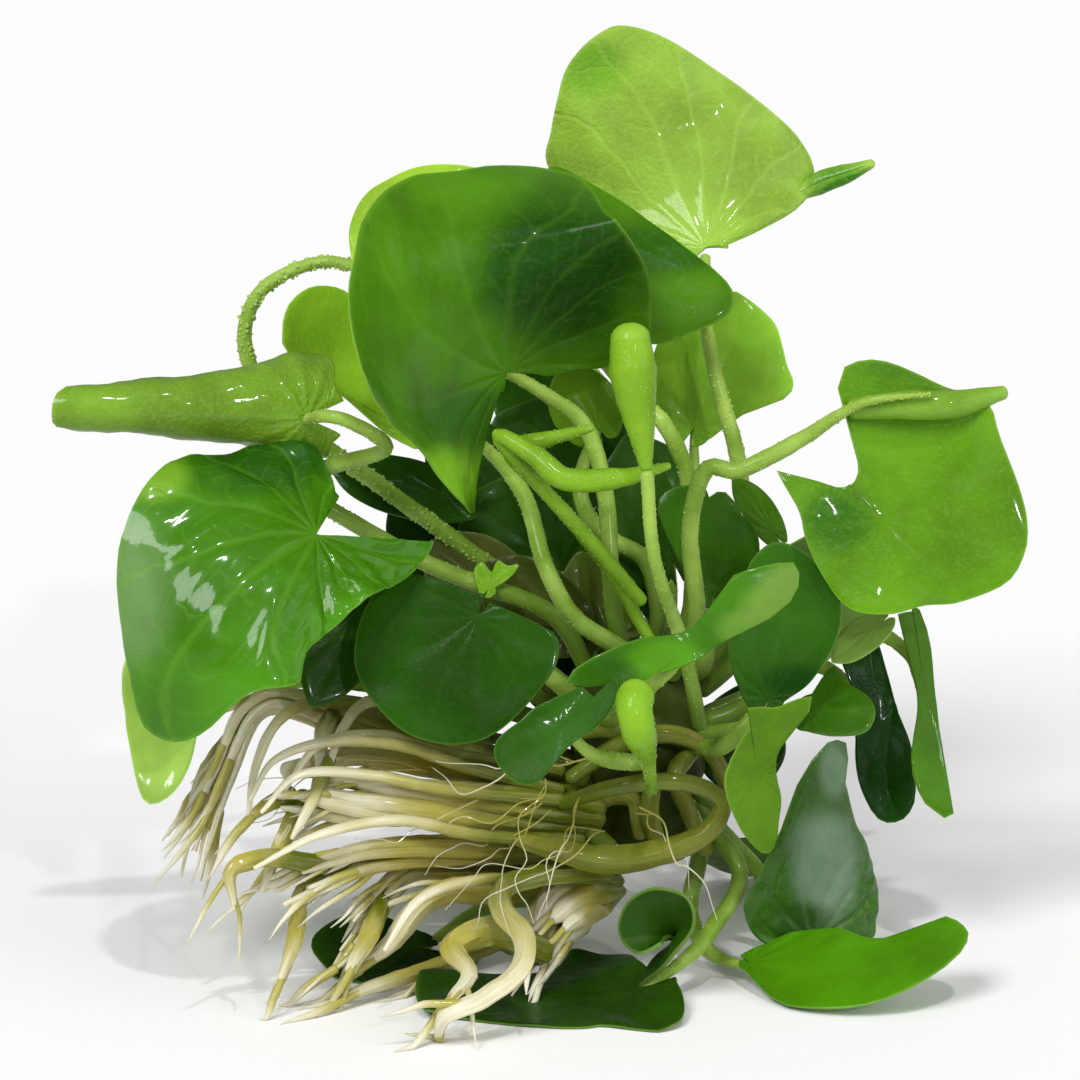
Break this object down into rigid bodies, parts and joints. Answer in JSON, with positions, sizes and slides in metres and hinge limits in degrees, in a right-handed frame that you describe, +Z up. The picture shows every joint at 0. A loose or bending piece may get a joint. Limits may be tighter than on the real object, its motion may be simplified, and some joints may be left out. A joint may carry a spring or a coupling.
{
  "type": "floating heart plant",
  "caption": "Bare-rooted water plant: heart-shaped blades on long stems round a short crown, with a comb of fleshy roots to one side, standing as picked.",
  "frame": {"origin": "on the surface the clump rests on, under the middle of its bounding box", "axes": "+Z up; +X to the viewer's right and +Y away from the viewer in the view that shows the comb of roots at the lower left"},
  "size_m": [0.1311, 0.0911, 0.1285],
  "materials": {
    "leaf": "gloss",
    "young_leaf": "gloss",
    "stem": "satin",
    "root": "satin",
    "crown": "matte"
  },
  "bodies": {
    "root": {"arched_blade": "leaf", "arched_stem": "stem", "back_left_leaf": "leaf", "back_low_left_leaf": "leaf", "back_low_right_leaf": "leaf", "back_right_leaf": "leaf", "back_top_leaf": "leaf", "behind_roots_leaf": "leaf", "bottom_leaf": "leaf", "broad_left_leaf": "leaf", "centre_left_leaf": "leaf", "centre_right_leaf": "leaf", "channel_leaf": "leaf", "club_leaf": "young_leaf", "club_stem": "young_leaf", "crown": "crown", "cup_leaf": "leaf", "curved_leaf": "leaf", "far_right_leaf": "leaf", "far_top_leaf": "leaf", "grey_leaf": "leaf", "hood_blade": "leaf", "hood_stem": "stem", "inner_left_leaf": "leaf", "inner_right_leaf": "leaf", "long_bud": "young_leaf", "low_bud": "young_leaf", "low_right_leaf": "leaf", "mid_right_leaf": "leaf", "old_leaf": "leaf", "pale_leaf": "leaf", "pointed_leaf": "leaf", "ridge_leaf": "leaf", "right_blade": "leaf", "right_stem": "stem", "rolled_blade": "leaf", "rolled_stem": "stem", "root_1": "root", "root_2": "root", "root_3": "root", "root_4": "root", "root_5": "root", "root_6": "root", "root_7": "root", "root_8": "root", "root_9": "root", "round_leaf": "leaf", "runner": "root", "short_bud": "young_leaf", "slant_leaf": "leaf", "small_bright_leaf": "leaf", "small_dark_leaf": "leaf", "small_pale_leaf": "leaf", "strip_leaf": "leaf", "top_blade": "leaf", "top_stem": "stem", "twisted_leaf": "leaf"}
  },
  "joints": []
}
